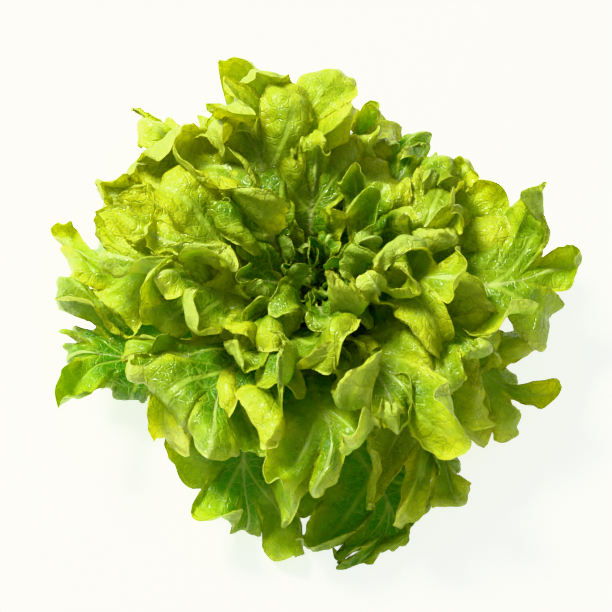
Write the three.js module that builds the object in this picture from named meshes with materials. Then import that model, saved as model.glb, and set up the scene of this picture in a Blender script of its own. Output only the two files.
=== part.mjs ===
// A head of green oak-leaf lettuce: a short cut stem that carries a spiral of lobed leaves.
// Millimetres, +Z up. The origin is the centre of the stem's cut face, which lies on the table.
//
// Every leaf lies in one family of nested shells round the stem, like sheets of one open bowl inside
// another. A leaf's age picks its shell, so two leaves never cross, however far they overlap. age is 0 on
// the oldest leaf, at the outside, and 1 on the youngest, in the heart.
import * as THREE from "three";

// ---- Driving dimensions ------------------------------------------------------------------------------
const LEAF_COUNT = 48;
const DIVERGENCE = 137.508; // degrees round the stem from one leaf to the next
const FIRST_LEAF_AT = -75; // degrees, where the outermost leaf points; -90 is the front

const STEM_RADIUS = 19; // where the outermost leaf joins
const STEM_CUT_RADIUS = 14.5; // of the cut face
const STEM_FOOT = 8; // height at which the outermost leaf joins
const STEM_TIP_RADIUS = 1.6; // where the youngest leaf joins
const STEM_CROWN = 0.6; // height of the growing tip over the youngest leaf's joint
const SEAT_GAP = 0.45; // between the stem and each leaf

const OUTER_LEAF = 145; // length of the oldest leaf
const HEART_LEAF = 44; // length of the youngest
const LEAF_WIDTH = 0.43; // half a blade's greatest width, as a share of its length
const FOOT_WIDTH = { outer: 0.5, heart: 1 }; // half the width of a leaf's foot, as a share of the stem's radius there
const BLADE_THICK = 0.7;
const RIB_THICK = { outer: 3.4, heart: 0.6 }; // of the midrib's foot, under the blade, in steps up the stem
const REACH = 150; // distance from the stem at which the end angles below hold

// Angles of the leaves over the table, in degrees, for the oldest and the youngest leaf.
const RISE = { outer: 27, heart: 87, power: 0.7 }; // where they leave the stem
const DROOP = { outer: -64, heart: 80, power: 0.54 }; // at REACH
const DROOP_POWER = 1.35; // how late along the leaf the droop sets in
const LEAN = 22; // between a leaf's foot and the square off the stem's side
const BACK_LIFT = 11; // how much higher the leaves stand at the back than at the sides
const FLOOR_GAP = 0.7; // from the table to the middle of a leaf that comes down to it and lies along it
const FLOOR_SOFTNESS = 3; // how gently such a leaf turns level

// Waves that all the shells share, so that neighbours stay nested.
const SWELL = { angle: 12, length: 74, around: 5, drift: 9 };
const SWIRL = { angle: 7, length: 110, around: 3 };

const LOBES = { outer: 4, heart: 2 }; // on each side, besides the one at the tip
const SINUS_DEPTH = 0.42; // how far the gaps between lobes reach in, as a share of the blade
const LOBES_START = 0.2; // share of the leaf, from its foot, that has no lobes
const LOBE_FLARE = 5; // degrees that a lobe widens towards its rounded end, either way
const TIP_LOBE = 0.34; // length of the tip's lobe, as a share of the leaf
const FAN_POWER = 0.55; // how early the side veins turn from square off the midrib towards the tip
const WIDEST_WRAP = { outer: 64, heart: 46 }; // degrees either way that one leaf may wrap round the head
const EDGE_WAVE = 0.8; // of a leaf's own margin, in shells, either way

// How far the head spreads towards each side, against a round one: [degrees, share].
const SPREAD = [
  [0, 0.99],
  [35, 0.8],
  [60, 0.78],
  [85, 0.88],
  [120, 1.07],
  [165, 1.06],
  [200, 0.97],
  [240, 0.94],
  [290, 1.05],
  [335, 0.97],
];

const OUTER_COLOUR = "#6f9a17";
const HEART_COLOUR = "#b9cf4a";
const STEM_COLOUR = "#d9e0b4";

// ---- Helpers -----------------------------------------------------------------------------------------
const rad = THREE.MathUtils.degToRad;
const mix = THREE.MathUtils.lerp;

// A number from -1 to 1 that depends only on the leaf and on what it is for.
function vary(leaf, purpose) {
  const x = Math.sin(leaf * 12.9898 + purpose * 78.233) * 43758.5453;
  return 2 * (x - Math.floor(x)) - 1;
}

const byAge = ({ outer, heart, power = 1 }, age) =>
  mix(outer, heart, Math.max(age, 0) ** power);

// The share of a round head's spread at an angle round it, joined smoothly between the listed sides.
function spreadAt(azimuth) {
  const at = ((THREE.MathUtils.radToDeg(azimuth) % 360) + 360) % 360;
  let next = SPREAD.findIndex(([side]) => side > at);
  if (next < 0) next = SPREAD.length;
  const [from, low] = SPREAD[next - 1];
  const [to, high] = SPREAD[next] ?? [SPREAD[0][0] + 360, SPREAD[0][1]];
  return mix(low, high, THREE.MathUtils.smoothstep(at, from, to));
}

// ---- The stem and the shells -------------------------------------------------------------------------
// The stem's side is square to the leaves' feet but for LEAN, so its profile follows from their angles.
const STEM_STEPS = 96;
const stemSide = traceStem();

function traceStem() {
  const slopeAt = (age) => rad(byAge(RISE, age) - LEAN);
  let inward = 0;
  for (let i = 0; i < STEM_STEPS; i++) {
    inward += Math.sin(slopeAt((i + 0.5) / STEM_STEPS)) / STEM_STEPS;
  }
  const length = (STEM_RADIUS - STEM_TIP_RADIUS) / inward;
  const points = [new THREE.Vector2(STEM_RADIUS, STEM_FOOT)];
  for (let i = 0; i < STEM_STEPS; i++) {
    const slope = slopeAt((i + 0.5) / STEM_STEPS);
    const step = new THREE.Vector2(-Math.sin(slope), Math.cos(slope));
    points.push(points[i].clone().addScaledVector(step, length / STEM_STEPS));
  }
  return points;
}

// A point of the stem's side at an age, as (radius, height). Ages past the ends go straight on.
function stemPoint(age) {
  const at = THREE.MathUtils.clamp(age, 0, 1) * STEM_STEPS;
  const i = Math.min(Math.floor(at), STEM_STEPS - 1);
  return stemSide[i].clone().lerp(stemSide[i + 1], age * STEM_STEPS - i);
}

// The distance up the stem's side from one leaf to the next.
const stemStep = (stemSide[0].distanceTo(stemSide[1]) * STEM_STEPS) / (LEAF_COUNT - 1);

const SHELL_STEP = 4;

// A point of the shell of an age, along metres from the stem, at an azimuth in radians.
function shellPoint(age, along, azimuth) {
  const start = stemPoint(age);
  const rise = rad(byAge(RISE, age));
  const end = rad(byAge(DROOP, age) + BACK_LIFT * Math.sin(azimuth));
  const steps = Math.max(1, Math.ceil(along / SHELL_STEP));
  const step = along / steps;
  for (let i = 0; i < steps; i++) {
    const at = (i + 0.5) * step;
    const free = Math.min(1, at / REACH) ** 2 * (3 - 2 * Math.min(1, at / REACH));
    const swell = Math.sin((2 * Math.PI * at) / SWELL.length + SWELL.around * azimuth + SWELL.drift * age);
    const angle = mix(rise, end, (at / REACH) ** DROOP_POWER) + rad(SWELL.angle) * free * swell;
    start.x += Math.cos(angle) * step;
    start.y += Math.sin(angle) * step;
  }
  const swirl = Math.sin((2 * Math.PI * along) / SWIRL.length + SWIRL.around * azimuth);
  const turned = azimuth + rad(SWIRL.angle) * Math.min(1, along / REACH) * swirl;
  const height = FLOOR_GAP + FLOOR_SOFTNESS * Math.log1p(Math.exp((start.y - FLOOR_GAP) / FLOOR_SOFTNESS));
  return new THREE.Vector3(start.x * Math.cos(turned), start.x * Math.sin(turned), height);
}

// The side of a shell that faces the heart, as a unit vector.
function shellNormal(age, along, azimuth) {
  const d = 0.01;
  const here = shellPoint(age, along, azimuth);
  const outward = shellPoint(age, along + 1, azimuth).sub(here);
  const around = shellPoint(age, along, azimuth + d).sub(here);
  return outward.cross(around).normalize();
}

// ---- One leaf ----------------------------------------------------------------------------------------
// The blade is a fan of rays from the midrib. They run sideways at the foot and turn towards the tip, as
// the side veins do, and the last ray carries the midrib on into the tip's lobe.
function leafShape(index) {
  const age = index / (LEAF_COUNT - 1);
  const azimuth = rad(FIRST_LEAF_AT + index * DIVERGENCE);
  const typical = mix(OUTER_LEAF, HEART_LEAF, age ** 1.9);
  const length = typical * (1 + 0.06 * vary(index, 1)) * spreadAt(azimuth);
  const lobes = Math.round(mix(LOBES.outer, LOBES.heart, age)) + 0.5;
  return { index, age, azimuth, length, lobes };
}

// The shares of the way to the tip at which the rays stand: the foot, then each lobe's gap and shoulders.
function rayPlaces({ lobes, age }) {
  const places = [0, LOBES_START * 0.55];
  const inLobe = age < 0.5 ? [0, 0.22, 0.5, 0.78] : [0, 0.3, 0.7];
  for (let lobe = 0; lobe < lobes; lobe++) {
    for (const part of inLobe) {
      const at = (lobe + part) / lobes;
      if (at < 0.999) places.push(LOBES_START + (1 - LOBES_START) * at);
    }
  }
  return [...places, 1];
}

// A ray's foot on the midrib, its angle off the midrib and its length, for one side of the leaf.
function ray(leaf, place, side) {
  const { length, lobes, index, age } = leaf;
  const blade = THREE.MathUtils.smoothstep(place, 0.05, 0.72);
  const full = mix(byAge(FOOT_WIDTH, age) * stemPoint(age).x, LEAF_WIDTH * length, blade ** 1.3);
  const toTip = mix(full, TIP_LOBE * length, THREE.MathUtils.smoothstep(place, 0.6, 0.95));
  const inLobes = Math.max(0, (place - LOBES_START) / (1 - LOBES_START));
  const round = Math.abs(Math.sin(Math.PI * lobes * inLobes)) ** 0.55;
  const flare = rad(LOBE_FLARE) * Math.sin(2 * Math.PI * lobes * inLobes) * Math.min(1, 4 - 4 * place);
  const depth = SINUS_DEPTH * (1 + 0.25 * vary(index, 20 + side)) * Math.min(1, inLobes * 8);
  return {
    foot: place * (1 - TIP_LOBE) * length,
    angle: (Math.PI / 2) * (1 - place) ** FAN_POWER + flare,
    length: toTip * (1 - depth * (1 - round)),
  };
}

// A leaf's point at a share of the way out along a ray, as an age, a distance along and an azimuth.
function onShell(leaf, place, side, out) {
  const { foot, angle, length } = ray(leaf, place, side);
  const along = SEAT_GAP + foot + out * length * Math.cos(angle);
  const across = out * length * Math.sin(angle);
  const here = shellPoint(leaf.age, along, leaf.azimuth);
  const most = rad(byAge(WIDEST_WRAP, leaf.age));
  const wrap = most * Math.tanh(across / Math.hypot(here.x, here.y) / most);
  const wave = Math.sin(2 * Math.PI * leaf.lobes * place + 3 * vary(leaf.index, 30 + side));
  const free = 4 * EDGE_WAVE * leaf.age * (1 - leaf.age) * THREE.MathUtils.smoothstep(place, 0.2, 0.5);
  const age = leaf.age + (free * out * out * wave) / (LEAF_COUNT - 1);
  return [age, along, leaf.azimuth + side * wrap];
}

// The closed solid between the leaf's upper and lower skins.
function leafGeometry(leaf) {
  const places = rayPlaces(leaf);
  const last = places.length - 1;
  const outs = [0, 0.5, 1];
  const upper = [];
  const lower = [];
  const ids = new Map();

  function vertex(side, k, m) {
    const shared = m === 0 || k === last;
    const key = [shared ? 0 : side, k, m].join();
    if (!ids.has(key)) {
      ids.set(key, upper.length);
      const at = onShell(leaf, places[k], side, outs[m]);
      const middle = shellPoint(...at);
      const normal = shellNormal(...at);
      const rib = byAge(RIB_THICK, leaf.age) * stemStep * (1 - places[k]) * (1 - outs[m]);
      upper.push(middle.clone().addScaledVector(normal, BLADE_THICK / 2));
      lower.push(middle.clone().addScaledVector(normal, -BLADE_THICK / 2 - rib));
    }
    return ids.get(key);
  }

  const faces = [];
  for (const side of [1, -1]) {
    for (let k = 0; k < last; k++) {
      for (let m = 0; m < outs.length - 1; m++) {
        const inner = [vertex(side, k, m), vertex(side, k + 1, m)];
        const outer = [vertex(side, k + 1, m + 1), vertex(side, k, m + 1)];
        const corners = [...inner, ...outer];
        if (side < 0) corners.reverse();
        const lift = upper[corners[0]].clone().sub(lower[corners[0]]);
        faces.push(...halves(corners, (id) => upper[id], lift));
      }
    }
  }
  return closeSkins(upper, lower, faces);
}

// Four corners as two triangles, split along the diagonal that leaves neither of them folded or thin.
function halves([a, b, c, d], pointOf, up) {
  function area(p, q, r) {
    const first = pointOf(q).clone().sub(pointOf(p));
    const second = pointOf(r).clone().sub(pointOf(p));
    return first.cross(second).dot(up);
  }
  const across = Math.min(area(a, b, c), area(a, c, d));
  const other = Math.min(area(a, b, d), area(b, c, d));
  return across > other ? [[a, b, c], [a, c, d]] : [[a, b, d], [b, c, d]];
}

// Two skins with the same faces, joined round their edge into one closed surface.
function closeSkins(upper, lower, faces) {
  const count = upper.length;
  const edges = new Set(faces.flatMap(([a, b, c]) => [`${a},${b}`, `${b},${c}`, `${c},${a}`]));
  const index = [];
  for (const [a, b, c] of faces) index.push(a, b, c, c + count, b + count, a + count);
  for (const edge of edges) {
    const [p, q] = edge.split(",").map(Number);
    if (!edges.has(`${q},${p}`)) index.push(q, p, p + count, q, p + count, q + count);
  }
  const geometry = new THREE.BufferGeometry().setFromPoints([...upper, ...lower]);
  geometry.setIndex(index);
  geometry.computeVertexNormals();
  return geometry;
}

// ---- The stem ----------------------------------------------------------------------------------------
function stemGeometry() {
  const profile = [new THREE.Vector2(0, 0), new THREE.Vector2(STEM_CUT_RADIUS, 0)];
  profile.push(new THREE.Vector2(STEM_RADIUS - 1, STEM_FOOT * 0.45));
  const bands = 8;
  for (let i = 0; i <= bands; i++) profile.push(stemPoint(i / bands));
  profile.push(new THREE.Vector2(0, stemPoint(1).y + STEM_CROWN));
  return new THREE.LatheGeometry(profile, 28).rotateX(Math.PI / 2);
}

// ---- The head ----------------------------------------------------------------------------------------
function mesh(name, geometry, colour, roughness) {
  const material = new THREE.MeshStandardMaterial({ color: colour, roughness, metalness: 0 });
  const made = new THREE.Mesh(geometry, material);
  made.name = name;
  return made;
}

const head = new THREE.Group();
head.add(mesh("stem", stemGeometry(), STEM_COLOUR, 0.6));
for (let i = 0; i < LEAF_COUNT; i++) {
  const leaf = leafShape(i);
  const colour = new THREE.Color(OUTER_COLOUR).lerp(new THREE.Color(HEART_COLOUR), leaf.age);
  head.add(mesh(`leaf_${String(i + 1).padStart(2, "0")}`, leafGeometry(leaf), colour, 0.45));
}

export default head;
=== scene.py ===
import math

import bpy
import numpy as np
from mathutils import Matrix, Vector


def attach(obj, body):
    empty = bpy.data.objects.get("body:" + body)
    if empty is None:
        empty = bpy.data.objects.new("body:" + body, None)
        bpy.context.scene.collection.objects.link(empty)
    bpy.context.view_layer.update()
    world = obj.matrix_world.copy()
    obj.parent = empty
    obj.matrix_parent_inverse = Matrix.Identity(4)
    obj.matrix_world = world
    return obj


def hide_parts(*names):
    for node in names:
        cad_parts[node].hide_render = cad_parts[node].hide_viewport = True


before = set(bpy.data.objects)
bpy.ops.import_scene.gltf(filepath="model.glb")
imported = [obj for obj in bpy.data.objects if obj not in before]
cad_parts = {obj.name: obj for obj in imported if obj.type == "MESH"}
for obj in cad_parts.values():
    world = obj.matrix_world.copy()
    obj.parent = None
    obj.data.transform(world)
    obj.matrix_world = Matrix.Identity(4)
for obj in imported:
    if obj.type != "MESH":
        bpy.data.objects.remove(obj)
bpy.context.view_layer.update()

# A head of green oak-leaf lettuce. Every fine leaf starts from the same nested shells as its CAD leaf, then
# its lobes curl up or down, and the leaves are pushed apart where they meet. Lengths are in millimetres until
# the meshes are made, and angles are in degrees unless a line says otherwise.

# ---- The leaves' family, with the part's own sizes ---------------------------------------------------------
# A pair is for the oldest and the youngest leaf, and a third number is the power of age between them.
MM = 0.001
LEAVES = 48
DIVERGENCE = 137.508  # round the stem, from one leaf to the next
FIRST_LEAF_AT = -75  # where the outermost leaf points; -90 is the front
STEM_RADIUS = 19  # where the outermost leaf joins
STEM_FOOT = 8  # height at which it joins
STEM_TIP_RADIUS = 1.6  # where the youngest leaf joins
SEAT_GAP = 0.45  # between the stem and each leaf
OUTER_LEAF = 145  # length of the oldest leaf
HEART_LEAF = 44  # length of the youngest
FOOT_WIDTH = (0.5, 1.0)  # half the width of a leaf's foot, as a share of the stem's radius there
RIB_THICK = (3.4, 0.6)  # of the midrib's foot, in steps up the stem
REACH = 150  # distance along a shell at which DROOP holds
RISE = (27, 87, 0.7)  # angle over the floor at which the leaves leave the stem
DROOP = (-64, 80, 0.54)  # angle over the floor at REACH
DROOP_POWER = 1.35  # how late along the leaf the droop sets in
LEAN = 22  # between a leaf's foot and the square off the stem's side
BACK_LIFT = 11  # how much higher the leaves stand at the back than at the sides
FLOOR_GAP = 0.7
FLOOR_SOFTNESS = 3
SWELL = dict(angle=12, length=74, around=5, drift=9)  # waves that all the shells share
SWIRL = dict(angle=7, length=110, around=3)
LOBES_START = 0.2  # share of the leaf, from its foot, that has no lobes
FAN_POWER = 0.55  # how early the side veins turn from square off the midrib towards the tip
WIDEST_WRAP = (64, 46)  # either way that one leaf may wrap round the head
# How far the head spreads towards each side, against a round one: (side, share).
SPREAD = [(0, 0.99), (35, 0.8), (60, 0.78), (85, 0.88), (120, 1.07), (165, 1.06), (200, 0.97), (240, 0.94),
          (290, 1.05), (335, 0.97), (360, 0.99)]

# ---- What the fine leaves add ------------------------------------------------------------------------------
RAYS = 41  # steps from the leaf's foot to its tip, on each side
STEPS = 8  # from the midrib out to the margin
LENGTH_POWER = 1.9  # how late with age the leaves shorten
LENGTH_VARIES = 0.06  # either way, from leaf to leaf
EXTRA = [(0, 1.08), (22, 0.92), (45, 0.96), (80, 1.02), (116, 1.12), (138, 0.88), (165, 0.98), (200, 0.95),
         (235, 1.02), (255, 0.97), (285, 1.04), (322, 1), (342, 0.92), (360, 1.08)]  # besides SPREAD
EXTRA_ENDS = (0.35, 0.7)  # the ages between which EXTRA fades out
HEART_CUT = 0.42  # how much shorter the heart's leaves are than the part's
HEART_CUT_AGES = (0.68, 0.86)
LOBES = (5, 1.2)  # on each side of the oldest and of the youngest leaf, besides the one at the tip
TIP_LOBE = 0.2  # the lobe at the tip, as a share of the leaf's length
BLADE_WIDTH = (0.43, 0.6)  # half a blade's greatest width, as a share of its length
LOBE_FLARE = 14  # degrees that a lobe widens towards its rounded end, either way
SINUS_DEPTH = 0.56  # how far the gaps between lobes reach in, as a share of the blade
SINUS_FLOOR = 0.1  # the share of a lobe's pitch that the gap's round floor takes, on each side
GROWTH = 1.25  # the blade's extra width, which its curls take up again

# Curls, as angles in radians unless a line says otherwise. A pair is the range that each lobe draws from.
ROLL = (1.2, 3.6)  # how far a lobe's end is rolled
ROLLED_OUTWARD = (0.56, 0.45)  # the share of lobes that roll away from the heart, by age
ROLL_FROM = (0.25, 0.6)  # where the roll sets in, as a share of the way out to the margin
LIFT = (0.15, 0.95)  # the turn near the midrib, up and down from lobe to lobe
CUP = (-1.0, 1.4)  # between a lobe's middle and both its sides
TWIST = (-1.1, 1.1)  # from one side of a lobe to the other
LOBE_WAVE = 0.55  # of the margin, up and down
RECURVE = (-1.1, 0.6)  # of the whole leaf's tip half
SWAY = 0.25  # the same sideways, either way

# The leaves' contact.
CONTACT = 2.4  # how near two leaves' middles may come, where they aren't nearer in the nested state
CONTACT_MARGIN = 2  # beyond CONTACT, which the list of pairs takes in
OWN_CONTACT = 14  # how far apart two points of one leaf are before they count as able to meet
ROUNDS = 70
PAIRS_EVERY = 3  # rounds
STEP_GAIN = 1.3  # how much of a round's push is taken
FREE_FROM = (4, 30)  # how far along a leaf it begins to move, and moves freely
FLOOR = 0.6  # the least height of a leaf's middle
CEILING = 119  # the height above which leaves flatten out
CEILING_SOFTNESS = 13

# The leaves' tones, with painted light on one side and painted shade in the heart.
PAINTED_LIGHT_SIDE = 115  # degrees; painted light: the outer leaves on this side, which faces the key lamp, are painted paler
HEART_PAINTED_SHADE = 1.7  # how much of a heart leaf's tone is taken off, as painted shade that darkens the heart; past 1 it turns the other way

# The fine surface.
PUCKERS = ((0.5, 10, 0), (0.6, 21, 100))  # (height, wavelength, first seed)
FRILL = (0.9, 8, 200)  # the same, along the margin
GROOVE = (0.5, 2.2)  # over the midrib: depth and half width
RIB_HALF_WIDTH = (3.2, 1.4)  # of the midrib's swelling underneath, at the foot and at the tip
HALF_THICK = (0.34, 0.16)  # by the midrib and at the margin
HEART_THINNER = 0.8  # the youngest leaf's share of HALF_THICK
LEAST_HEIGHT = 0.05  # of any point over the floor
OUTER_FINENESS = (4, 3)  # how many times finer than the settled points, along and across
HEART_FINENESS = (3, 2)
FIRST_COARSE = 30  # the first leaf that takes HEART_FINENESS
NEAR_MIDRIB = (0, 0.05, 0.12, 0.26, 0.5)  # steps from the midrib, closer together than the rest

rng = np.random.default_rng(11)


def mix(a, b, t):
    return a + (b - a) * t


def smooth(x, low, high):
    t = np.clip((x - low) / (high - low), 0, 1)
    return t * t * (3 - 2 * t)


def by_age(ends, age):
    power = ends[2] if len(ends) > 2 else 1
    return mix(ends[0], ends[1], np.maximum(age, 0) ** power)


def vary(leaf, purpose):
    x = np.sin(leaf * 12.9898 + purpose * 78.233) * 43758.5453
    return 2 * (x - np.floor(x)) - 1


def shares_at(azimuth, table):
    """The share that a table of (side, share) pairs gives each way round the head."""
    sides, shares = np.array(table).T
    at = np.degrees(azimuth) % 360
    k = np.clip(np.searchsorted(sides, at, side="right"), 1, len(sides) - 1)
    return mix(shares[k - 1], shares[k], smooth(at, sides[k - 1], sides[k]))


def unit(v):
    return v / np.maximum(np.linalg.norm(v, axis=-1, keepdims=True), 1e-9)


def trace_stem(steps=96):
    slope = np.radians(by_age(RISE, (np.arange(steps) + 0.5) / steps) - LEAN)
    side = np.stack([-np.sin(slope), np.cos(slope)], 1)
    length = (STEM_RADIUS - STEM_TIP_RADIUS) / -side[:, 0].sum()
    side = np.concatenate([[[0, 0]], np.cumsum(side * length, 0)]) + (STEM_RADIUS, STEM_FOOT)
    return side, length * steps / (LEAVES - 1)


STEM_SIDE, STEM_STEP = trace_stem()


def stem_point(age):
    at = age * (len(STEM_SIDE) - 1)
    i = np.clip(np.floor(at), 0, len(STEM_SIDE) - 2).astype(int)
    return mix(STEM_SIDE[i], STEM_SIDE[i + 1], (at - i)[..., None])


def shell_point(age, along, azimuth, steps=40):
    start = stem_point(age)
    r, z = start[..., 0].copy(), start[..., 1].copy()
    rise = np.radians(by_age(RISE, age))
    end = np.radians(by_age(DROOP, age) + BACK_LIFT * np.sin(azimuth))
    step = along / steps
    for i in range(steps):
        at = (i + 0.5) * step
        swell = np.sin(2 * np.pi * at / SWELL["length"] + SWELL["around"] * azimuth + SWELL["drift"] * age)
        angle = mix(rise, end, (at / REACH) ** DROOP_POWER)
        angle = angle + math.radians(SWELL["angle"]) * smooth(at, 0, REACH) * swell
        r += np.cos(angle) * step
        z += np.sin(angle) * step
    swirl = np.sin(2 * np.pi * along / SWIRL["length"] + SWIRL["around"] * azimuth)
    turned = azimuth + math.radians(SWIRL["angle"]) * np.minimum(1, along / REACH) * swirl
    height = FLOOR_GAP + FLOOR_SOFTNESS * np.logaddexp(0, (z - FLOOR_GAP) / FLOOR_SOFTNESS)
    return np.stack([r * np.cos(turned), r * np.sin(turned), height], -1)


# ---- The layout of every leaf: rays from the midrib, foot to tip on one side and back on the other --------
index = np.arange(LEAVES)
age = index / (LEAVES - 1)
azimuth = np.radians(FIRST_LEAF_AT + index * DIVERGENCE)
length = mix(OUTER_LEAF, HEART_LEAF, age**LENGTH_POWER) * (1 + LENGTH_VARIES * vary(index, 1))
length = length * shares_at(azimuth, SPREAD)
length = length * (1 + (shares_at(azimuth, EXTRA) - 1) * (1 - smooth(age, *EXTRA_ENDS)))
length = length * (1 - HEART_CUT * smooth(age, *HEART_CUT_AGES))
lobes = np.floor(mix(LOBES[0], LOBES[1], age) + 0.5) + 0.5

COUNT = 2 * RAYS + 1
ray = np.minimum(np.arange(COUNT), 2 * RAYS - np.arange(COUNT))
side = np.where(np.arange(COUNT) <= RAYS, 1, -1)
lobe_at = np.maximum(0, (ray - 2) / (RAYS - 2))[None] * lobes[:, None]  # 0 at the first gap, 0.5 mid-lobe
place = np.where(ray < 2, ray * 0.55 * LOBES_START, LOBES_START + (1 - LOBES_START) * (ray - 2) / (RAYS - 2))
place = np.broadcast_to(place, (LEAVES, COUNT))
out = np.linspace(0, 1, STEPS + 1)


def per_lobe(low, high, minus_share=None, in_turn=False):
    """One random value for each lobe, joined smoothly from lobe to lobe. Both sides share the tip's lobe.

    minus_share of them are made negative, or every other one where they go in_turn.
    """
    count = LOBES[0] + 1
    values = rng.uniform(low, high, (LEAVES, 2, count))
    if minus_share is not None:
        values *= np.where(rng.uniform(size=values.shape) < minus_share, -1, 1)
    if in_turn:
        values *= np.where((np.arange(count) + index[:, None, None] + np.arange(2)[:, None]) % 2, -1, 1)
    tip = np.floor(lobes).astype(int)
    values[index, 1, tip] = values[index, 0, tip]
    at = np.clip(lobe_at - 0.5, 0, None)
    k = np.floor(at).astype(int)
    which = np.broadcast_to((side < 0).astype(int), (LEAVES, COUNT))
    rows = np.broadcast_to(index[:, None], (LEAVES, COUNT))
    this = values[rows, which, np.minimum(k, tip[:, None])]
    after = values[rows, which, np.minimum(k + 1, tip[:, None])]
    return mix(this, after, smooth(at - k, 0.2, 0.8))


def layout():
    """Each ray's foot on the midrib, its angle, its reach, that reach without gaps, and the gaps' floor."""
    blade = smooth(place, 0.05, 0.72) ** 1.3
    foot_width = (by_age(FOOT_WIDTH, age) * stem_point(age)[:, 0])[:, None]
    full = mix(foot_width, by_age(BLADE_WIDTH, age)[:, None] * length[:, None], blade)
    envelope = mix(full, TIP_LOBE * length[:, None], smooth(place, 0.7, 1.0))
    envelope = envelope * mix(1, GROWTH, blade) * (1 + per_lobe(-0.2, 0.12) * blade)
    in_lobes = np.maximum(0, (place - LOBES_START) / (1 - LOBES_START))
    off_middle = np.abs(lobe_at % 1 - 0.5) / (0.5 - SINUS_FLOOR)
    round_end = 1 - np.sqrt(1 - np.clip(off_middle, 0, 1) ** 2.4)
    depth = SINUS_DEPTH * (1 + per_lobe(-0.25, 0.2)) * np.minimum(1, in_lobes * 8)
    reach = envelope * (1 - depth * round_end)
    angle = np.pi / 2 * (1 - place) ** FAN_POWER + np.radians(per_lobe(-7, 7)) * np.minimum(1, 4 - 4 * place)
    return place * (1 - TIP_LOBE) * length[:, None], angle, reach, envelope, envelope * (1 - depth)


foot, turn, reach, envelope, sinus = layout()
distance = reach[..., None] * out
off_lobe = lobe_at % 1 - 0.5
flare = np.tan(np.radians(LOBE_FLARE) * -2 * off_lobe * smooth(place, LOBES_START, 0.4))[..., None]
flare = flare * np.maximum(0, distance - 0.7 * sinus[..., None])
along = foot[..., None] + distance * np.cos(turn)[..., None] - flare * np.sin(turn)[..., None]
along = SEAT_GAP + np.maximum(0, along)
across = distance * np.sin(turn)[..., None] + flare * np.cos(turn)[..., None]
ages = np.broadcast_to(age[:, None, None], along.shape)
leaf_azimuth = np.broadcast_to(azimuth[:, None, None], along.shape)


def nested():
    """The leaves flat on their shells, and the shells' normals there, towards the heart."""
    middle = shell_point(ages, along, leaf_azimuth)
    widest = np.radians(by_age(WIDEST_WRAP, ages))
    wrap = widest * np.tanh(across / np.hypot(middle[..., 0], middle[..., 1]) / widest)
    at = leaf_azimuth + side[None, :, None] * wrap
    here = shell_point(ages, along, at)
    outward = shell_point(ages, along + 1, at) - here
    around = shell_point(ages, along, at + 0.01) - here
    return here, unit(np.cross(outward, around))


flat, normal = nested()


# ---- Curls -------------------------------------------------------------------------------------------------
def turned_about(vectors, axis, angle):
    c, s = np.cos(angle), np.sin(angle)
    share = (axis * vectors).sum(-1, keepdims=True)
    return vectors * c + np.cross(axis, vectors) * s + axis * share * (1 - c)


def curl_angles():
    """How far each step of each ray is turned from the shell, towards the heart where it is positive."""
    reach_share = distance / envelope[..., None]
    middle = 0.5 * (reach_share[..., 1:] + reach_share[..., :-1])
    roll = per_lobe(*ROLL, by_age(ROLLED_OUTWARD, age)[:, None, None]) * smooth(place, 0.12, 0.4)
    onset = per_lobe(*ROLL_FROM)[..., None]
    bend = roll[..., None] * np.clip((middle - onset) / (1 - onset), 0, 1.2) ** 1.1
    lift = per_lobe(*LIFT, in_turn=True) * smooth(place, 0.1, 0.3)
    bend = bend + lift[..., None] * smooth(middle, 0.1, 0.4)
    bend = bend + (per_lobe(*CUP) * (2 * off_lobe) ** 2)[..., None] * middle**1.5
    bend = bend + (per_lobe(*TWIST) * 2 * off_lobe)[..., None] * middle
    wave = np.sin(2 * np.pi * 1.5 * lobe_at + per_lobe(-3, 3)) * smooth(place, 0.15, 0.35)
    return bend + LOBE_WAVE * wave[..., None] * middle**2


bends = curl_angles()
recurve = rng.uniform(*RECURVE, LEAVES) * mix(0.7, 1.0, age)
sway = rng.uniform(-SWAY, SWAY, LEAVES)


def curled(amount):
    """Every leaf with that share of its curls."""
    spine = flat[:, : RAYS + 1, 0]
    step = spine[:, 1:] - spine[:, :-1]
    size = np.linalg.norm(step, axis=-1, keepdims=True)
    t, n = unit(step), normal[:, :RAYS, 0]
    n = unit(n - t * (t * n).sum(-1, keepdims=True))
    late = smooth(place[:, :RAYS], 0.35, 1.0)
    pitch = (amount * recurve[:, None] * late)[..., None]
    yaw = (amount * sway[:, None] * late)[..., None]
    path = size * (t * np.cos(pitch) * np.cos(yaw) + n * np.sin(pitch) + np.cross(n, t) * np.sin(yaw))
    path = np.concatenate([spine[:, :1], spine[:, :1] + np.cumsum(path, 1)], 1)
    axis = unit(np.cross(t, n))
    axis = np.concatenate([axis, axis[:, -1:]], 1)[:, ray]
    pitch = np.concatenate([pitch, pitch[:, -1:]], 1)[:, ray]

    steps = flat[:, :, 1:] - flat[:, :, :-1]
    sizes = np.linalg.norm(steps, axis=-1, keepdims=True)
    t = unit(steps)
    n = 0.5 * (normal[:, :, 1:] + normal[:, :, :-1])
    n = unit(n - t * (t * n).sum(-1, keepdims=True))
    t = turned_about(t, axis[:, :, None], pitch[:, :, None])
    n = turned_about(n, axis[:, :, None], pitch[:, :, None])
    bend = amount * bends[..., None]
    steps = sizes * (t * np.cos(bend) + n * np.sin(bend))
    base = path[:, ray][:, :, None]
    return np.concatenate([base, base + np.cumsum(steps, 2)], 2)


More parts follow.
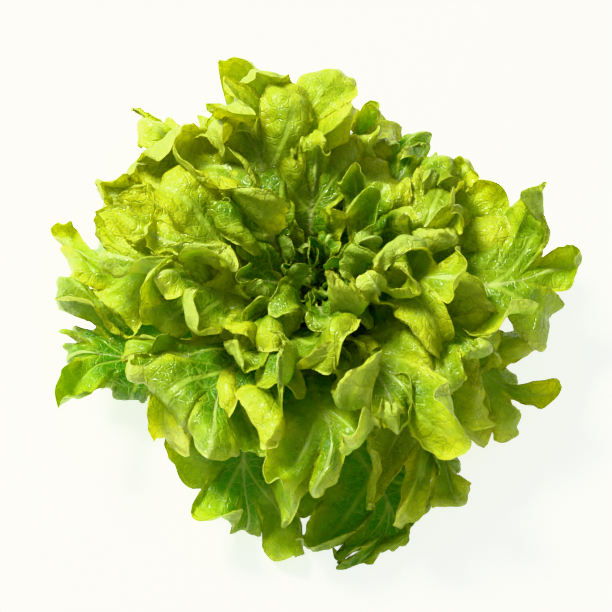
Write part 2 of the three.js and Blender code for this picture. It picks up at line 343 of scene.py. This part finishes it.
# ---- Pushing the leaves apart ------------------------------------------------------------------------------
def near_pairs(points, reach_mm):
    """Every pair of points nearer than reach_mm, found through a grid of cells that large."""
    cell = np.floor((points - points.min(0)) / reach_mm).astype(np.int64) + 1
    span = cell.max(0) + 2
    key = (cell[:, 0] * span[1] + cell[:, 1]) * span[2] + cell[:, 2]
    order = np.argsort(key, kind="stable")
    ordered = key[order]
    around = [(x, y, z) for x in (0, 1) for y in (-1, 0, 1) for z in (-1, 0, 1)]
    found = []
    for dx, dy, dz in [shift for shift in around if shift >= (0, 0, 0)]:  # half, so each pair comes once
        want = ordered + (dx * span[1] + dy) * span[2] + dz
        low = np.searchsorted(ordered, want, "left")
        many = np.searchsorted(ordered, want, "right") - low
        a = np.repeat(np.arange(len(order)), many)
        b = np.repeat(low, many) + np.arange(many.sum()) - np.repeat(np.cumsum(many) - many, many)
        if (dx, dy, dz) == (0, 0, 0):
            a, b = a[b > a], b[b > a]
        a, b = order[a], order[b]
        close = ((points[a] - points[b]) ** 2).sum(1) < reach_mm**2
        found.append(np.stack([a[close], b[close]]))
    return np.concatenate(found, 1)


def surface_normals(points):
    across_rays = np.gradient(points, axis=1)
    along_rays = np.gradient(points, axis=2)
    return unit(np.cross(along_rays, across_rays))


def contact_pairs(points):
    """The pairs of points that may touch, with the least distance that each pair keeps."""
    flat_points = points.reshape(-1, 3)
    nested_points = flat.reshape(-1, 3)
    per_leaf = COUNT * (STEPS + 1)
    a, b = near_pairs(flat_points, CONTACT + CONTACT_MARGIN)
    at_rest = np.linalg.norm(nested_points[a] - nested_points[b], axis=1)
    keep = (a // per_leaf != b // per_leaf) | (at_rest > OWN_CONTACT)
    a, b, at_rest = a[keep], b[keep], at_rest[keep]
    return a, b, np.minimum(CONTACT, 0.9 * at_rest)


def push_apart(points, pairs):
    """How far each point is moved so that its pairs keep their distance, mostly square to the blades."""
    a, b, want = pairs
    p = points.reshape(-1, 3)
    n = surface_normals(points).reshape(-1, 3)
    gap = p[b] - p[a]
    dist = np.linalg.norm(gap, axis=1)
    short = want - dist
    hit = short > 0
    a, b, gap, short = a[hit], b[hit], gap[hit], short[hit]
    side_of_a = np.sign((n[a] * gap).sum(1))[:, None]
    side_of_b = np.sign((n[b] * gap).sum(1))[:, None]
    facing = 0.5 * (n[a] * side_of_a + n[b] * side_of_b)
    way = unit(unit(gap) + 1.5 * facing)
    push = way * short[:, None] * 0.5
    moved = np.zeros_like(p)
    for axis in range(3):
        moved[:, axis] = np.bincount(b, push[:, axis], len(p)) - np.bincount(a, push[:, axis], len(p))
    hits = np.bincount(a, minlength=len(p)) + np.bincount(b, minlength=len(p))
    moved /= np.maximum(1, hits)[:, None] ** 0.7
    return moved.reshape(points.shape)


def shared(field):
    """The midrib's points are one for both sides."""
    field[:, :, 0] = 0.5 * (field[:, :, 0] + field[:, ::-1, 0])
    return field


def spread_out(field):
    """The field's average with its neighbours over the leaf, through the midrib too."""
    before = np.concatenate([2 * field[:, :1] - field[:, 1:2], field[:, :-1]], 1)
    after = np.concatenate([field[:, 1:], 2 * field[:, -1:] - field[:, -2:-1]], 1)
    inner = np.concatenate([field[:, ::-1, 1:2], field[:, :, :-1]], 2)
    outer = np.concatenate([field[:, :, 1:], field[:, :, -1:]], 2)
    return 0.4 * field + 0.15 * (before + after + inner + outer)


def settle():
    """Curls the leaves up little by little and pushes them apart in each round."""
    free = smooth(along, *FREE_FROM)[..., None]
    moved = np.zeros_like(flat)
    for round_ in range(ROUNDS):
        amount = float(smooth(np.array((round_ + 1) / (0.75 * ROUNDS)), 0, 1))
        target = curled(amount)
        points = target + moved
        if round_ % PAIRS_EVERY == 0:
            pairs = contact_pairs(points)
        moved = moved + STEP_GAIN * push_apart(points, pairs) * free
        moved = shared(spread_out(moved)) * free**0.1
        moved[..., 2] += np.maximum(0, FLOOR - (target + moved)[..., 2])
    settled = target + moved
    over = np.maximum(0, settled[..., 2] - CEILING)
    settled[..., 2] += CEILING_SOFTNESS * np.tanh(over / CEILING_SOFTNESS) - over
    return settled


settled = settle()


# ---- Fine meshes -------------------------------------------------------------------------------------------
def spline_rows(count, at):
    """Weights of a smooth curve through count + 2 points, the first and last of them beyond its ends."""
    k = np.clip(np.floor(at), 0, count - 2).astype(int)
    t = at - k
    rows = np.zeros((len(at), count + 2))
    weights = [
        (-t + 2 * t**2 - t**3) / 2,
        (2 - 5 * t**2 + 3 * t**3) / 2,
        (t + 4 * t**2 - 3 * t**3) / 2,
        (t**3 - t**2) / 2,
    ]
    for step, weight in enumerate(weights):
        rows[np.arange(len(at)), k + step] = weight
    return rows


def finer(points, ray_at, out_at):
    """One leaf's points, (rays, steps, any), at finer places."""
    first = points[::-1, 1:2] if points.shape[1] > 1 else points
    wide = np.concatenate([first, points, 2 * points[:, -1:] - points[:, -2:-1]], 1)
    wide = np.einsum("fm,jmc->jfc", spline_rows(points.shape[1], out_at), wide)
    tall = np.concatenate([2 * wide[:1] - wide[1:2], wide, 2 * wide[-1:] - wide[-2:-1]], 0)
    return np.einsum("fj,jmc->fmc", spline_rows(points.shape[0], ray_at), tall)


def ripples(x, y, wavelength, seed, count=7):
    """Smooth irregular bumps between about -1 and 1."""
    draw = np.random.default_rng(seed)
    total = 0
    for _ in range(count):
        heading, phase = draw.uniform(0, 2 * np.pi, 2)
        k = 2 * np.pi / (wavelength * draw.uniform(0.75, 1.5))
        total = total + np.sin(k * (x * np.cos(heading) + y * np.sin(heading)) + phase)
    return total / math.sqrt(count)


def grid_normals(points):
    along_rays = np.gradient(points, axis=1)
    across_rays = np.gradient(points, axis=0)
    n = np.cross(across_rays, along_rays)
    n[:, 0] = n[:, 0] + n[::-1, 0]
    return unit(n)


def leaf_mesh(i):
    """One leaf's upper and lower skin as grids of points, rays by steps, and facts about each point."""
    fine_rays, fine_steps = OUTER_FINENESS if i < FIRST_COARSE else HEART_FINENESS
    ray_at = np.arange((COUNT - 1) * fine_rays + 1) / fine_rays
    out_at = np.concatenate([NEAR_MIDRIB, np.arange(2, STEPS * fine_steps + 1) / fine_steps])
    points = finer(settled[i], ray_at, out_at)
    facts = np.stack([across[i], along[i], np.broadcast_to(out, across[i].shape)], -1)
    facts = finer(facts, ray_at, out_at)
    sideways, forward, share = facts[..., 0], facts[..., 1], np.clip(facts[..., 2], 0, 1)
    sideways[:, 0] = 0
    sign = np.where(ray_at <= RAYS, 1, -1)[:, None]
    fine_ray = np.minimum(ray_at, 2 * RAYS - ray_at)
    lobe = np.maximum(0, (fine_ray - 2) / (RAYS - 2)) * lobes[i]
    way = np.clip(fine_ray / RAYS, 0, 1)[:, None]

    n = grid_normals(points)
    thin = smooth(sideways, 2, 9) * smooth(forward, 8, 30)
    bumps = 0
    for height, wavelength, seed in PUCKERS:
        bumps = bumps + height * ripples(sideways * sign, forward, wavelength, seed + i) * thin
    height, wavelength, seed = FRILL
    frill = height * ripples(sideways * sign, forward, wavelength, seed + i) * smooth(share, 0.75, 1.0) * thin
    depth, half_width = GROOVE
    groove = depth * np.exp(-((sideways / half_width) ** 2)) * (1 - way)
    points = points + n * (bumps + frill - groove)[..., None]
    points[:, 0] = 0.5 * (points[:, 0] + points[::-1, 0])
    n = grid_normals(points)

    rib_shape = np.exp(-((sideways / mix(*RIB_HALF_WIDTH, way)) ** 2))
    rib = by_age(RIB_THICK, age[i]) * STEM_STEP * (1 - way) ** 1.2 * rib_shape
    half = mix(*HALF_THICK, smooth(share, 0.6, 1)) * mix(1, HEART_THINNER, age[i])
    upper = points + n * half[..., None]
    lower = points - n * (half + rib)[..., None]
    for skin in (upper, lower):
        skin[..., 2] = np.maximum(skin[..., 2], LEAST_HEIGHT)
    return upper, lower, dict(sideways=sideways, share=share, lobe=lobe, way=way, forward=forward)


def build_leaf(i):
    """One leaf's vertices in metres and its faces: both skins and the rim that closes them."""
    upper, lower, facts = leaf_mesh(i)
    rays, steps = upper.shape[:2]
    ids = np.arange(rays * steps).reshape(rays, steps)
    ids[rays // 2 + 1 :, 0] = ids[: rays // 2, 0][::-1]
    a, b, c, d = ids[:-1, :-1], ids[1:, :-1], ids[1:, 1:], ids[:-1, 1:]
    quads = np.stack([a, b, c, d], -1).reshape(-1, 4)
    total = rays * steps
    under = quads[:, ::-1] + total

    edge = np.concatenate([ids[0, :], ids[1:, -1], ids[-1, -2::-1]])
    rim = np.stack([edge[1:], edge[:-1], edge[:-1] + total, edge[1:] + total], -1)
    faces = np.concatenate([quads, under, rim])
    vertices = np.concatenate([upper.reshape(-1, 3), lower.reshape(-1, 3)]) * MM
    return vertices, faces, facts


def make_mesh(name, vertices, faces):
    """A mesh of four-sided faces without the vertices that no face uses, and which ones it kept."""
    used = np.unique(faces)
    place_of = np.zeros(len(vertices), int)
    place_of[used] = np.arange(len(used))
    mesh = bpy.data.meshes.new(name)
    mesh.vertices.add(len(used))
    mesh.vertices.foreach_set("co", vertices[used].astype(np.float32).ravel())
    faces = place_of[faces]
    mesh.loops.add(faces.size)
    mesh.loops.foreach_set("vertex_index", faces.ravel().astype(np.int32))
    mesh.polygons.add(len(faces))
    mesh.polygons.foreach_set("loop_start", np.arange(0, faces.size, 4, dtype=np.int32))
    mesh.update(calc_edges=True)
    mesh.validate()
    return mesh, used


def leaf_facts(i, facts):
    """What the material reads at each point of both skins: tone (random from leaf to leaf, with painted light
    on the side of the key lamp and painted shade in the heart), midrib, underside and margin.
    """
    total = facts["share"].size
    # Painted light: the outer leaves on the side of the key lamp get a paler, yellower tone.
    pale = smooth(np.cos(azimuth[i] - math.radians(PAINTED_LIGHT_SIDE)), 0.8, 0.95) * (1 - smooth(age[i], 0.4, 0.6))
    # Painted shade: the heart's leaves get a darker, greener tone for the shade that falls into the heart.
    heart_painted_shade = 1 - HEART_PAINTED_SHADE * smooth(age[i], 0.55, 0.85)
    tone_and_painted_shading = np.full(total, (0.5 + 0.5 * vary(i, 5)) * heart_painted_shade + 0.5 * pale)
    rib = np.exp(-((facts["sideways"] / mix(1.2, 0.4, facts["way"] ** 0.6)) ** 2)) * (1 - 0.3 * facts["way"])
    foot_pale = 1 - smooth(facts["forward"], 6, 42 * (1 - 0.5 * age[i]))
    data = np.zeros((2 * total, 4), np.float32)
    data[:, 0] = np.tile(tone_and_painted_shading, 2)
    data[:, 1] = np.tile(np.clip(rib + foot_pale, 0, 1).ravel(), 2)
    data[:, 2] = np.repeat([0, 1], total)
    data[:, 3] = np.tile(facts["share"].ravel(), 2)
    return data


def leaf_maps(facts):
    """The UV map that the side veins follow, and one without overlaps for baking."""
    share = facts["share"]
    lobe = np.broadcast_to(facts["lobe"][:, None], share.shape).ravel()
    veins = np.stack([np.tile(lobe, 2), np.tile(share.ravel(), 2)], 1)
    u = np.broadcast_to(np.linspace(0.01, 0.99, share.shape[0])[:, None], share.shape).ravel()
    v = share.ravel() * 0.46
    unwrapped = np.stack([np.tile(u, 2), np.concatenate([v + 0.02, 0.98 - v])], 1)
    return (("Veins", veins), ("OFBake", unwrapped))


def leaf_object(i):
    vertices, faces, facts = build_leaf(i)
    name = f"fine_leaf_{i + 1:02d}"
    mesh, used = make_mesh(name, vertices, faces)
    mesh.polygons.foreach_set("use_smooth", np.ones(len(mesh.polygons), bool))
    layer = mesh.color_attributes.new("leaf", "FLOAT_COLOR", "POINT")
    layer.data.foreach_set("color", leaf_facts(i, facts)[used].ravel())

    loops = np.zeros(len(mesh.loops), np.int32)
    mesh.loops.foreach_get("vertex_index", loops)
    for map_name, coords in leaf_maps(facts):
        layer = mesh.uv_layers.new(name=map_name)
        layer.data.foreach_set("uv", coords[used][loops].astype(np.float32).ravel())

    leaf = bpy.data.objects.new(name, mesh)
    bpy.context.scene.collection.objects.link(leaf)
    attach(leaf, "root")
    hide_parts(f"leaf_{i + 1:02d}")
    return leaf


# ---- Materials ---------------------------------------------------------------------------------------------
class Nodes:
    """A short way to write a material's nodes. An input is named, with _ for a space, or i0, i1 and so on."""

    def __init__(self, name):
        self.material = bpy.data.materials.new(name)
        self.material.use_nodes = True
        self.tree = self.material.node_tree
        self.tree.nodes.clear()

    def add(self, kind, **inputs):
        node = self.tree.nodes.new(kind)
        settings = inputs.pop("settings", {})
        for key, value in settings.items():
            setattr(node, key, value)
        for key, value in inputs.items():
            numbered = key[0] == "i" and key[1:].isdigit()
            self.join(value, node.inputs[int(key[1:]) if numbered else key.replace("_", " ")])
        return node

    def join(self, value, socket):
        if isinstance(value, bpy.types.NodeSocket):
            self.tree.links.new(value, socket)
        else:
            socket.default_value = value

    def math(self, operation, a, b=0.0, c=0.0, clamp=False):
        settings = dict(operation=operation, use_clamp=clamp)
        return self.add("ShaderNodeMath", i0=a, i1=b, i2=c, settings=settings).outputs[0]

    def step(self, value, low, high, to_low=0.0, to_high=1.0):
        node = self.add("ShaderNodeMapRange", i0=value, i1=low, i2=high, i3=to_low, i4=to_high,
                        settings=dict(interpolation_type="SMOOTHSTEP"))
        return node.outputs[0]

    def blend(self, share, a, b, kind="MIX"):
        node = self.add("ShaderNodeMix", settings=dict(data_type="RGBA", blend_type=kind))
        self.join(share, node.inputs[0])
        self.join(a, node.inputs[6])
        self.join(b, node.inputs[7])
        return node.outputs[2]

    def noise(self, scale, detail=3.0, roughness=0.5):
        where = self.add("ShaderNodeTexCoord").outputs["Object"]
        node = self.add("ShaderNodeTexNoise", Vector=where, Scale=scale, Detail=detail, Roughness=roughness)
        return node.outputs["Fac"]


def srgb(r, g, b):
    def line(c):
        c /= 255
        return c / 12.92 if c <= 0.04045 else ((c + 0.055) / 1.055) ** 2.4

    return (line(r), line(g), line(b), 1.0)


LEAF = dict(
    old=srgb(54, 114, 5), young=srgb(207, 214, 54), speckle=srgb(96, 138, 0), vein=srgb(182, 208, 88),
    under=srgb(166, 190, 96), rim=srgb(220, 230, 108), rib=srgb(206, 214, 140),
)
GLOW = dict(old=srgb(102, 182, 5), young=srgb(236, 235, 38), vein=srgb(104, 146, 0), rib=srgb(180, 190, 60))
STEM = dict(
    skin=srgb(196, 210, 130), pale=srgb(226, 232, 182), fibre=srgb(172, 188, 96), pith=srgb(238, 240, 214),
    flesh=srgb(206, 220, 150), bundle=srgb(150, 172, 84), dry=srgb(184, 150, 96),
)
LEAF_BUMP = (0.9, 0.0016)  # strength, and height in metres
LEAF_SHEEN = (0.6, 1.45)  # specular level and refractive index
THROUGH = 0.5  # the share of the light that the blade lets through


def leaf_veins(n, where):
    """How much of a vein there is: one into each lobe, and two nets of small ones."""
    uv = n.add("ShaderNodeUVMap", settings=dict(uv_map="Veins"))
    split = n.add("ShaderNodeSeparateXYZ", i0=uv.outputs[0])
    off_vein = n.math("ABSOLUTE", n.math("SUBTRACT", n.math("FRACT", split.outputs[0]), 0.5))
    lobe_width = n.math("MULTIPLY_ADD", split.outputs[1], 20.0, 5.0)
    from_vein = n.math("MULTIPLY", off_vein, lobe_width)
    fading = n.step(split.outputs[1], 0.35, 0.95, 1.0, 0.45)
    side_vein = n.math("MULTIPLY", n.step(from_vein, 0.25, 1.0, 1.0, 0.0), fading)
    cells = dict(feature="DISTANCE_TO_EDGE")
    net = n.add("ShaderNodeTexVoronoi", Vector=where, Scale=170.0, settings=cells)
    fine_net = n.add("ShaderNodeTexVoronoi", Vector=where, Scale=480.0, settings=cells)
    net_line = n.step(net.outputs["Distance"], 0.0, 0.1, 1.0, 0.0)
    fine_line = n.step(fine_net.outputs["Distance"], 0.0, 0.16, 1.0, 0.0)
    vein = n.math("MAXIMUM", side_vein, n.math("MULTIPLY", net_line, 0.7))
    return n.math("MAXIMUM", vein, n.math("MULTIPLY", fine_line, 0.32))


def leaf_material():
    n = Nodes("lettuce_leaf")
    facts = n.add("ShaderNodeAttribute", settings=dict(attribute_name="leaf"))
    parts = n.add("ShaderNodeSeparateColor", i0=facts.outputs["Color"])
    tone_and_painted_shading, rib, under = parts.outputs[0], parts.outputs[1], parts.outputs[2]
    edge = facts.outputs["Alpha"]
    where = n.add("ShaderNodeTexCoord").outputs["Object"]
    vein = leaf_veins(n, where)

    blotch = n.noise(38.0, 3.0, 0.55)
    speckle = n.noise(420.0, 2.0, 0.5)
    outer = n.step(edge, 0.25, 1.0)
    young = n.math("MULTIPLY_ADD", outer, 0.6, n.math("MULTIPLY_ADD", blotch, 1.4, -0.8))
    # Painted light and shade enter here through the tone: paler on the side of the key lamp, darker in the
    # heart. The glow below takes the same share.
    young = n.math("MULTIPLY_ADD", tone_and_painted_shading, 0.6, young, clamp=True)
    colour = n.blend(young, LEAF["old"], LEAF["young"])
    colour = n.blend(n.math("MULTIPLY", speckle, 0.3), colour, LEAF["speckle"])
    colour = n.blend(n.math("MULTIPLY", vein, 0.72), colour, LEAF["vein"])
    colour = n.blend(n.math("MULTIPLY", under, 0.55), colour, LEAF["under"])
    colour = n.blend(n.math("MULTIPLY", n.step(edge, 0.94, 1.0), 0.6), colour, LEAF["rim"])
    colour = n.blend(n.math("MULTIPLY", rib, 0.85), colour, LEAF["rib"])

    glow = n.blend(young, GLOW["old"], GLOW["young"])
    glow = n.blend(n.math("MULTIPLY", vein, 0.55), glow, GLOW["vein"])
    glow = n.blend(n.math("MULTIPLY", rib, 0.7), glow, GLOW["rib"])

    puff = n.add("ShaderNodeTexVoronoi", Vector=where, Scale=190.0, settings=dict(feature="SMOOTH_F1"))
    dimple = n.math("MULTIPLY_ADD", puff.outputs["Distance"], -0.9, n.math("MULTIPLY", vein, -0.35))
    height = n.math("MULTIPLY_ADD", n.noise(330.0, 3.0), 0.5, dimple)
    height = n.math("MULTIPLY_ADD", n.noise(900.0, 1.0), 0.22, height)
    bump = n.add("ShaderNodeBump", Strength=LEAF_BUMP[0], Distance=LEAF_BUMP[1], Height=height)
    rough = n.math("MULTIPLY_ADD", n.noise(90.0, 2.0), 0.22, n.math("MULTIPLY_ADD", under, 0.2, 0.07))

    skin = n.add("ShaderNodeBsdfPrincipled", Base_Color=colour, Roughness=rough, Normal=bump.outputs[0])
    skin.inputs["Specular IOR Level"].default_value, skin.inputs["IOR"].default_value = LEAF_SHEEN
    through = n.add("ShaderNodeBsdfTranslucent", Color=glow, Normal=bump.outputs[0])
    shares = n.add("ShaderNodeMixShader")
    n.join(THROUGH, shares.inputs[0])
    n.join(skin.outputs[0], shares.inputs[1])
    n.join(through.outputs[0], shares.inputs[2])
    result = n.add("ShaderNodeOutputMaterial")
    n.join(shares.outputs[0], result.inputs["Surface"])
    return n.material


def stem_material():
    """The stem's skin, and on its cut face the pith, a ring of bundles and a dry edge, by their radius."""
    n = Nodes("lettuce_stem")
    where = n.add("ShaderNodeTexCoord").outputs["Object"]
    split = n.add("ShaderNodeSeparateXYZ", i0=where)
    flat_part = n.add("ShaderNodeCombineXYZ", i0=split.outputs[0], i1=split.outputs[1])
    measured = n.add("ShaderNodeVectorMath", i0=flat_part.outputs[0], settings=dict(operation="LENGTH"))
    radius = measured.outputs["Value"]
    wobble = n.math("MULTIPLY_ADD", n.noise(150.0, 2.0), 0.002, radius)
    cut = n.step(split.outputs[2], 0.0004, 0.0012, 1.0, 0.0)
    blotch = n.noise(60.0, 4.0)
    fibre = n.noise(700.0, 3.0)
    colour = n.blend(blotch, STEM["skin"], STEM["pale"])
    colour = n.blend(n.math("MULTIPLY", fibre, 0.35), colour, STEM["fibre"])
    pith = n.blend(n.step(wobble, 0.004, 0.0095), STEM["pith"], STEM["flesh"])
    ring = n.math("MULTIPLY", n.step(wobble, 0.0088, 0.0102), n.step(wobble, 0.0106, 0.0122, 1.0, 0.0))
    dots = n.add("ShaderNodeTexVoronoi", Vector=where, Scale=620.0, settings=dict(feature="F1"))
    bundle = n.math("MULTIPLY", ring, n.step(dots.outputs["Distance"], 0.25, 0.5, 1.0, 0.0))
    pith = n.blend(n.math("MULTIPLY", bundle, 0.8), pith, STEM["bundle"])
    pith = n.blend(n.math("MULTIPLY", n.step(wobble, 0.0125, 0.0152), 0.7), pith, STEM["dry"])
    colour = n.blend(cut, colour, pith)
    height = n.math("MULTIPLY_ADD", bundle, -0.8, fibre)
    bump = n.add("ShaderNodeBump", Strength=0.5, Distance=0.0008, Height=height)
    rough = n.math("MULTIPLY_ADD", blotch, 0.3, 0.3)
    skin = n.add("ShaderNodeBsdfPrincipled", Base_Color=colour, Roughness=rough, Normal=bump.outputs[0])
    result = n.add("ShaderNodeOutputMaterial")
    n.join(skin.outputs[0], result.inputs["Surface"])
    return n.material


def floor_material():
    n = Nodes("floor")
    skin = n.add("ShaderNodeBsdfPrincipled", Base_Color=(0.93, 0.93, 0.93, 1), Roughness=0.6)
    skin.inputs["Emission Color"].default_value = (1, 1, 1, 1)
    skin.inputs["Emission Strength"].default_value = 0.8
    result = n.add("ShaderNodeOutputMaterial")
    n.join(skin.outputs[0], result.inputs["Surface"])
    return n.material


# ---- Camera, floor and light, in metres --------------------------------------------------------------------
CAMERA_ELEVATION = 60
CAMERA_DISTANCE = 1.1
CAMERA_TARGET = (-0.003, -0.012, 0.05)
CAMERA_LENS = 121
FLOOR_HALF_SIDE = 4
WORLD_COLOUR = (0.94, 1, 0.98, 1)
WORLD_STRENGTH = (0.1, 0.35, 1.1, 0.42)  # two heights on the unit sphere, and the strengths below and above
LAMPS = (
    # name, place, size, power in watts, colour
    ("key", (-0.75, 0.48, 1.36), 0.45, 77, (1, 0.97, 0.88)),
    ("fill", (0.2, -1.1, 1.3), 1.2, 5, (1, 1, 1)),
)


def look(obj, at):
    way = Vector(at) - obj.location
    obj.rotation_euler = way.to_track_quat("-Z", "Y").to_euler()


def studio():
    camera = bpy.data.objects.new("camera", bpy.data.cameras.new("camera"))
    bpy.context.scene.collection.objects.link(camera)
    elevation = math.radians(CAMERA_ELEVATION)
    target = Vector(CAMERA_TARGET)
    camera.location = target + Vector((0, -math.cos(elevation), math.sin(elevation))) * CAMERA_DISTANCE
    look(camera, target)
    camera.data.lens = CAMERA_LENS
    bpy.context.scene.camera = camera

    mesh = bpy.data.meshes.new("floor")
    corners = [(x * FLOOR_HALF_SIDE, y * FLOOR_HALF_SIDE, 0) for x, y in ((-1, -1), (1, -1), (1, 1), (-1, 1))]
    mesh.from_pydata(corners, [], [(0, 1, 2, 3)])
    floor = bpy.data.objects.new("floor", mesh)
    bpy.context.scene.collection.objects.link(floor)
    mesh.materials.append(floor_material())

    world = bpy.data.worlds.new("world")
    world.use_nodes = True
    tree = world.node_tree
    way = tree.nodes.new("ShaderNodeTexCoord")
    height = tree.nodes.new("ShaderNodeSeparateXYZ")
    strength = tree.nodes.new("ShaderNodeMapRange")
    strength.interpolation_type = "SMOOTHSTEP"
    for socket, value in enumerate(WORLD_STRENGTH, 1):
        strength.inputs[socket].default_value = value
    tree.links.new(way.outputs["Generated"], height.inputs[0])
    tree.links.new(height.outputs["Z"], strength.inputs[0])
    tree.links.new(strength.outputs[0], tree.nodes["Background"].inputs[1])
    tree.nodes["Background"].inputs[0].default_value = WORLD_COLOUR
    bpy.context.scene.world = world

    for name, place_, size, power, colour in LAMPS:
        lamp = bpy.data.lights.new(name, "AREA")
        lamp.size, lamp.energy, lamp.color = size, power, colour
        light = bpy.data.objects.new(name, lamp)
        bpy.context.scene.collection.objects.link(light)
        light.location = place_
        look(light, (0, 0, 0.05))
    bpy.context.scene.view_settings.view_transform = "Khronos PBR Neutral"


studio()
green = leaf_material()
for leaf_index in range(LEAVES):
    leaf_object(leaf_index).data.materials.append(green)
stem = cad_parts["stem"]
stem.data.materials.clear()
stem.data.materials.append(stem_material())
for polygon in stem.data.polygons:
    polygon.material_index = 0
